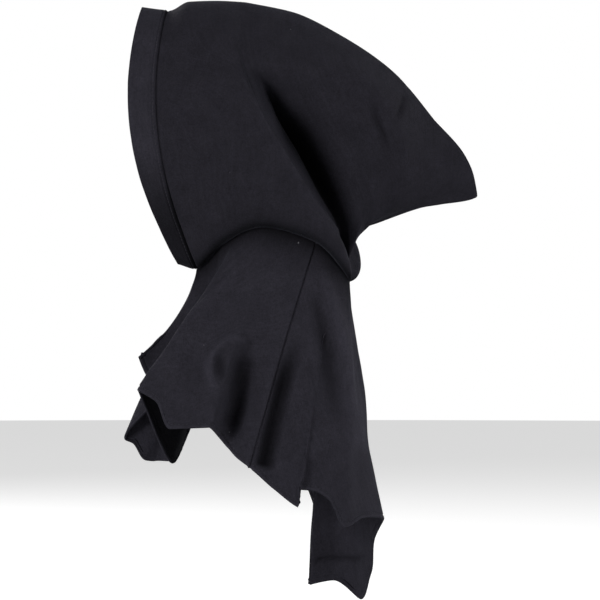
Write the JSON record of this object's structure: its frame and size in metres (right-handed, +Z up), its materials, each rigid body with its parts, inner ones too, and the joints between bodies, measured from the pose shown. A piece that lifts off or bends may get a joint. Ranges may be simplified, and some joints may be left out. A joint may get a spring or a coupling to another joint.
{
  "type": "wool hood with shoulder cape",
  "caption": "Close wool hood with a short back peak, a wide turned band round the face opening and a draped shoulder cape, in the shape it has on a head.",
  "frame": {"origin": "the point inside the crown where the top of the wearer's head touches it", "axes": "+Z up, the wearer faces -Y with the left hand on the +X side, and the peak points to +Y"},
  "size_m": [0.2376, 0.412, 0.6933],
  "materials": {
    "wool": "soft fulled black wool with a faint blue cast, matt, with a fine fuzz"
  },
  "bodies": {
    "root": {"hood_left": "wool", "hood_right": "wool", "face_band_left": "wool", "face_band_right": "wool", "cape_front": "wool", "cape_back": "wool"}
  },
  "joints": []
}
